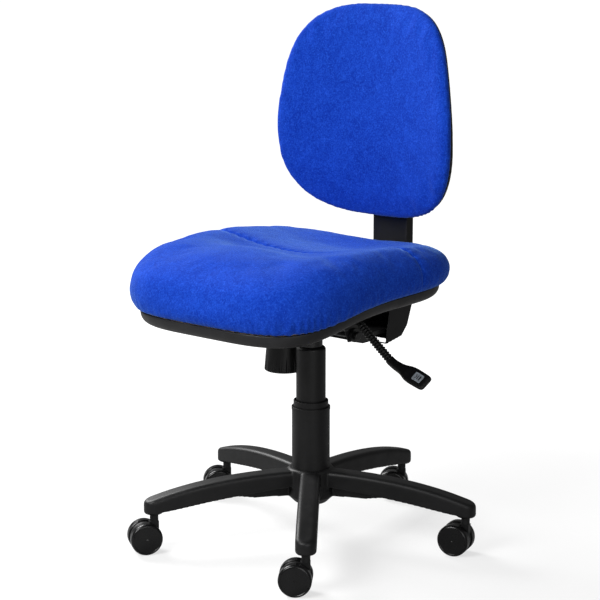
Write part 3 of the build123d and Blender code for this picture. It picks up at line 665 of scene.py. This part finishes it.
def back_cushion():
    """Hollowed backrest pad with a rolled rim, tucked in behind to the board."""
    angles = even_angles(lambda a: back_outline(0.0, a), 180)
    wide = back_outline(-BACK_OVERHANG, angles)
    behind = back_outline(BACK_TUCK, angles)
    centre = np.array((0.0, BACK_CENTRE_Z))
    reach = np.linalg.norm(wide - centre, axis=1)
    edge_y = front_y(wide[:, 0], wide[:, 1]) + BACK_EDGE_DEPTH
    rings = []
    for u in np.concatenate((np.linspace(0.03, 0.70, 14), np.linspace(0.73, 1.0, 26))):
        place = centre + u * (wide - centre)
        t = np.clip((1 - u) * reach / BACK_ROLL, 0, 1)
        rise = (1 - (1 - t) ** BACK_ROLL_POWER) ** (1 / BACK_ROLL_POWER)
        y = edge_y + (front_y(place[:, 0], place[:, 1]) - edge_y) * rise
        rings.append(np.column_stack((place[:, 0], y, place[:, 1])))
    for v in np.linspace(0.1, 1.0, 6):
        turn = v * math.pi / 2
        place = behind + (wide - behind) * math.cos(turn)
        rear = board_y(place[:, 0], place[:, 1]) - CLEARANCE
        y = edge_y + (rear - edge_y) * math.sin(turn)
        rings.append(np.column_stack((place[:, 0], y, place[:, 1])))
    for u in np.linspace(0.97, 0.03, 12):
        place = centre + u * (behind - centre)
        y = board_y(place[:, 0], place[:, 1]) - CLEARANCE
        rings.append(np.column_stack((place[:, 0], y, place[:, 1])))
    piece = closed_rings("back_upholstery", rings, BLUE)
    stuff(piece, BACK_VOXEL, BACK_SWELL, lambda p: p[:, 1] > board_y(p[:, 0], p[:, 2]) - HELD_BAND)
    ruffle_back(piece.data)
    square_shoulders(piece.data)
    return piece


def square_shoulders(mesh):
    """Squares the upper corners of a backrest piece and narrows it above its widest line."""
    points = read_points(mesh)
    x, y, z = points.T
    u = np.abs(x) / BACK_HALF_X
    v = np.maximum(z - BACK_WIDEST_Z, 0) / BACK_RISE
    plain = (u ** BACK_TOP_POWER + v ** BACK_TOP_POWER) ** (1 / BACK_TOP_POWER)
    squarer = (u ** SHOULDER_POWER + v ** SHOULDER_POWER) ** (1 / SHOULDER_POWER)
    grow = np.where(v > 0, plain / np.maximum(squarer, 1e-6), 1.0)
    new_x = x * grow * (1 - SHOULDER_NARROWING * smoothstep(0.0, 0.55, v))
    new_z = np.where(v > 0, BACK_WIDEST_Z + (z - BACK_WIDEST_Z) * grow, z)
    new_y = y + board_y(new_x, new_z) - board_y(x, z)
    write_points(mesh, np.column_stack((new_x, new_y, new_z)))


def ruffle_back(mesh):
    """Small gathers where the cover is pulled round the edge of the board."""
    points = read_points(mesh)
    normals = vertex_normals(mesh)
    x, y, z = points.T
    depth = board_y(x, z) - y
    angle = np.arctan2(z - BACK_CENTRE_Z, x)
    edge = np.exp(-((depth - 0.006) / 0.006) ** 2) * (depth > 0.001)
    low = 0.35 + 0.65 * smoothstep(0.0, -0.12, z - BACK_WIDEST_Z)
    shift = np.sin(angle * 92 + 2.5 * np.sin(angle * 13)) * edge * 0.00055 * low
    for index, p in enumerate(points):
        swell = noise.noise(Vector(p) * 11.0) * 0.0012 + noise.noise(Vector(p) * 40.0) * 0.0004
        shift[index] += swell * min(1.0, max(0.0, (depth[index] - 0.002) / 0.015))
    points = points + normals * shift[:, None]
    rear = board_y(points[:, 0], points[:, 2]) - 0.0005
    points[:, 1] = np.minimum(points[:, 1], rear)
    write_points(mesh, points)


back_pad = back_cushion()
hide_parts("back_cushion")
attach(back_pad, "backrest")


# ---------------------------------------------------------------- softened mouldings
def softened(name, node, voxel, rounds, body, slot):
    """A moulding remade from its CAD node with blended corners and rounded edges."""
    piece = bpy.data.objects.new(name, nodes[node].data.copy())
    scene.collection.objects.link(piece)
    remesh = piece.modifiers.new("remesh", "REMESH")
    remesh.mode = "VOXEL"
    remesh.voxel_size = voxel
    relax = piece.modifiers.new("relax", "SMOOTH")
    relax.factor = 0.5
    relax.iterations = rounds
    bake_modifiers(piece)
    piece.data.materials.clear()
    piece.data.materials.append(SLOT_MATERIALS[slot])
    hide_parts(node)
    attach(piece, body)
    return piece


softened("star_moulding", "star_base", 0.0016, 10, "base", "black_nylon")
softened("boot_moulding", "back_bar_cover", 0.0019, 5, "back_arm", "black_nylon")
rear_shell = softened("shell_moulding", "back_shell", 0.0016, 6, "backrest", "black_nylon")
square_shoulders(rear_shell.data)


# ---------------------------------------------------------------- lever sleeve
def turned(name, start, end, profile, material, sides=32):
    """Body turned about a line; profile holds (share of length, radius)."""
    start, end = Vector(start), Vector(end)
    along = end - start
    aside = along.orthogonal().normalized()
    across = along.normalized().cross(aside)
    rings = []
    for share, radius in profile:
        middle = start + along * share
        ring = []
        for j in range(sides):
            a = 2 * math.pi * j / sides
            ring.append(tuple(middle + aside * (radius * math.cos(a)) + across * (radius * math.sin(a))))
        rings.append(np.array(ring))
    return closed_rings(name, rings, material)


LOCK_ROOT = Vector((0.070, 0.060, 0.416))
LOCK_ELBOW = Vector((0.149, 0.060, 0.352))
sleeve_run = LOCK_ELBOW - LOCK_ROOT
RIBS = 15
RIB_STEPS = 8
RIB_ROOT_R, RIB_HEIGHT, SLEEVE_BORE_R = 0.0062, 0.0024, 0.0044
SLEEVE_START = LOCK_ROOT + sleeve_run * 0.02
SLEEVE_END = LOCK_ROOT + sleeve_run * 0.92
ribbed = []
for step in range(RIBS * RIB_STEPS + 1):
    wave = 0.5 - 0.5 * math.cos(2 * math.pi * step / RIB_STEPS)
    ribbed.append((step / (RIBS * RIB_STEPS), RIB_ROOT_R + RIB_HEIGHT * wave ** 0.7))
ribbed = [(0.0, SLEEVE_BORE_R)] + ribbed + [(1.0, SLEEVE_BORE_R)]
sleeve = turned("lever_sleeve", SLEEVE_START, SLEEVE_END, ribbed, SLEEVE)
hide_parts("lock_lever_sleeve")
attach(sleeve, "lock_lever")

# ---------------------------------------------------------------- recline lever's grip
LOCK_TIP = Vector((0.2275, 0.060, 0.3255))
LOCK_TWIST = math.radians(40.0)
grip_along = (LOCK_TIP - LOCK_ELBOW).normalized()
grip_up = Matrix.Rotation(LOCK_TWIST, 3, grip_along) @ Vector((0, 1, 0)).cross(grip_along).normalized() * -1
grip_side = grip_up.cross(grip_along)
NECK_START = LOCK_ROOT + sleeve_run * 0.90
BEND_END = LOCK_ELBOW + (LOCK_TIP - LOCK_ELBOW) * 0.22
grip_half_width = curve_through((
    (0.0, 0.0082), (0.20, 0.0086), (0.36, 0.0105), (0.50, 0.0152), (0.80, 0.0168), (1.0, 0.0160),
))
grip_half_thick = curve_through((
    (0.0, 0.0074), (0.20, 0.0082), (0.38, 0.0078), (0.55, 0.0066), (0.80, 0.0060), (1.0, 0.0052),
))


def grip_place(t):
    """Middle of the grip at a share of its length: a bend, then straight to the tip."""
    if t < 0.3:
        k = t / 0.3
        return NECK_START * (1 - k) ** 2 + LOCK_ELBOW * (2 * k * (1 - k)) + BEND_END * k * k
    return BEND_END.lerp(LOCK_TIP, (t - 0.3) / 0.7)


def lever_grip():
    """Flat paddle with a shallow thumb dish, on a bent round neck."""
    shares = list(np.linspace(0.0, 0.9, 34))
    shares += [0.9 + 0.1 * math.sin(v) for v in np.linspace(0.1, 1.54, 10)]
    rings = []
    for t in shares:
        middle = grip_place(t)
        ahead = (grip_place(min(t + 0.01, 1.0)) - grip_place(max(t - 0.01, 0.0))).normalized()
        side = (grip_side - ahead * grip_side.dot(ahead)).normalized()
        up = ahead.cross(side) * -1
        if up.dot(grip_up) < 0:
            up = -up
        close = math.sqrt(max(0.0, 1 - max(0.0, (t - 0.9) / 0.1) ** 2))
        taper = 0.62 + 0.38 * close ** 0.7
        closing = 0.02 + 0.98 * min(1.0, close * 4) ** 0.5
        width = float(grip_half_width(t)) * taper * closing
        thick = float(grip_half_thick(t)) * (0.02 + 0.98 * close ** 0.7)
        dish = 0.0009 * float(smoothstep(0.45, 0.60, t) * (1 - smoothstep(0.88, 0.97, t)))
        ring = []
        for j in range(48):
            a = 2 * math.pi * j / 48
            c, w = math.cos(a), math.sin(a)
            x = width * math.copysign(abs(c) ** 0.62, c)
            z = thick * math.copysign(abs(w) ** 0.72, w)
            if w > 0:
                z -= dish * (1 - (x / width) ** 2) * w
            ring.append(tuple(middle + side * x + up * z))
        rings.append(np.array(ring))
    return closed_rings("lever_grip", rings, BLACK)


def flat_plate(name, corners, lift, thick, material):
    """Thin plate on the grip's upper face; corners hold (share along, offset across)."""
    vertices = []
    for level in (lift - thick, lift):
        for t, across in corners:
            foot = grip_place(t) + grip_side * across
            vertices.append(foot + grip_up * (float(grip_half_thick(t)) + level))
    n = len(corners)
    faces = [tuple(range(n, 2 * n)), tuple(reversed(range(n)))]
    for j in range(n):
        k = (j + 1) % n
        faces.append((j, k, n + k, n + j))
    piece = link_mesh(name, vertices, faces, material, smooth=False)
    outward(piece)
    return piece


grip = lever_grip()
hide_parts("lock_lever_handle")
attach(grip, "lock_lever")

LABEL_THICK = 0.0016
MARK_REACH, MARK_LIFT, MARK_THICK = 0.0048, 0.00015, 0.0006
MARK_SHAPES = (
    ("grip_mark_a", ((0.70, -1), (0.73, 0), (0.70, 1), (0.715, 1), (0.748, 0), (0.715, -1))),
    ("grip_mark_b", ((0.76, -1), (0.76, 1), (0.775, 1), (0.775, -1))),
    ("grip_mark_c", ((0.80, -1), (0.80, 1), (0.83, 1), (0.83, -1))),
)
sticker_outline = []
for corner in range(4):
    for step in range(5):
        a = math.pi / 2 * (corner + step / 4)
        centre_t = 0.765 + (0.085 if corner in (0, 3) else -0.085)
        centre_w = 0.0068 if corner in (0, 1) else -0.0068
        sticker_outline.append((centre_t + 0.018 * math.cos(a), centre_w + 0.0018 * math.sin(a)))
sticker = flat_plate("grip_label", sticker_outline, 0.0, LABEL_THICK, LABEL)
marks = []
for name, shape in MARK_SHAPES:
    corners = [(t, sign * MARK_REACH) for t, sign in shape]
    marks.append(flat_plate(name, corners, MARK_LIFT, MARK_THICK, MARK))
for piece in [sticker] + marks:
    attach(piece, "lock_lever")

# ---------------------------------------------------------------- floor, light and camera
PSI = math.radians(40.0)
RIGHT = Vector((math.cos(PSI), math.sin(PSI), 0))
NEAR = Vector((math.sin(PSI), -math.cos(PSI), 0))


def studio(right, near, up):
    """A place given as seen by the camera: to its right, towards it, and up."""
    return RIGHT * right + NEAR * near + Vector((0, 0, up))


floor_vertices = []
floor_faces = []
GRID = 12
FLOOR_HALF = 6.0
FLOOR_SIDE = 2 * FLOOR_HALF
for i in range(GRID + 1):
    for j in range(GRID + 1):
        x = -FLOOR_HALF + FLOOR_SIDE * i / GRID
        y = -FLOOR_HALF + FLOOR_SIDE * j / GRID
        floor_vertices.append((x, y, 0.0))
for i in range(GRID):
    for j in range(GRID):
        a = i * (GRID + 1) + j
        floor_faces.append((a, a + GRID + 1, a + GRID + 2, a + 1))
floor = link_mesh("studio_floor", floor_vertices, floor_faces, paper())


def softbox(name, place, target, side, power):
    """Square area light pointed at the chair."""
    light = bpy.data.lights.new(name, "AREA")
    light.shape = "RECTANGLE"
    light.size, light.size_y = side, side
    light.energy = power
    lamp = bpy.data.objects.new(name, light)
    scene.collection.objects.link(lamp)
    lamp.location = place
    lamp.rotation_mode = "QUATERNION"
    lamp.rotation_quaternion = (target - place).to_track_quat("-Z", "Y")


middle = Vector((0, 0, 0.5))
softbox("key", studio(-1.6, 1.5, 1.9), middle, 1.3, 62.0)
softbox("top", studio(-1.6, -1.5, 1.9), middle, 1.3, 88.0)
softbox("fill", studio(0.8, 2.6, 1.0), middle, 1.4, 18.0)

world = bpy.data.worlds.new("studio")
scene.world = world
world.use_nodes = True
tree = world.node_tree
ambient = tree.nodes["Background"]
ambient.inputs["Color"].default_value = (1, 1, 1, 1)
ambient.inputs["Strength"].default_value = 0.16
seen = tree.nodes.new("ShaderNodeBackground")
seen.inputs["Color"].default_value = (1, 1, 1, 1)
seen.inputs["Strength"].default_value = 1.05
chooser = tree.nodes.new("ShaderNodeMixShader")
tree.links.new(tree.nodes.new("ShaderNodeLightPath").outputs["Is Camera Ray"], chooser.inputs[0])
tree.links.new(ambient.outputs[0], chooser.inputs[1])
tree.links.new(seen.outputs[0], chooser.inputs[2])
tree.links.new(chooser.outputs[0], tree.nodes["World Output"].inputs["Surface"])

DISTANCE, HEIGHT, PAN_ANGLE, PITCH = 3.1985, 1.1179, -0.006464, 0.191232
camera_data = bpy.data.cameras.new("camera")
camera_data.sensor_width = 36.0
camera_data.lens = 104.64
camera_data.shift_y = -0.0315
camera = bpy.data.objects.new("camera", camera_data)
scene.collection.objects.link(camera)
camera.location = studio(0, DISTANCE, HEIGHT)
forward = (
    RIGHT * (-math.sin(PAN_ANGLE) * -math.cos(PITCH))
    - NEAR * (math.cos(PAN_ANGLE) * math.cos(PITCH))
    - Vector((0, 0, math.sin(PITCH)))
)
camera.rotation_mode = "QUATERNION"
camera.rotation_quaternion = forward.to_track_quat("-Z", "Y")
scene.camera = camera
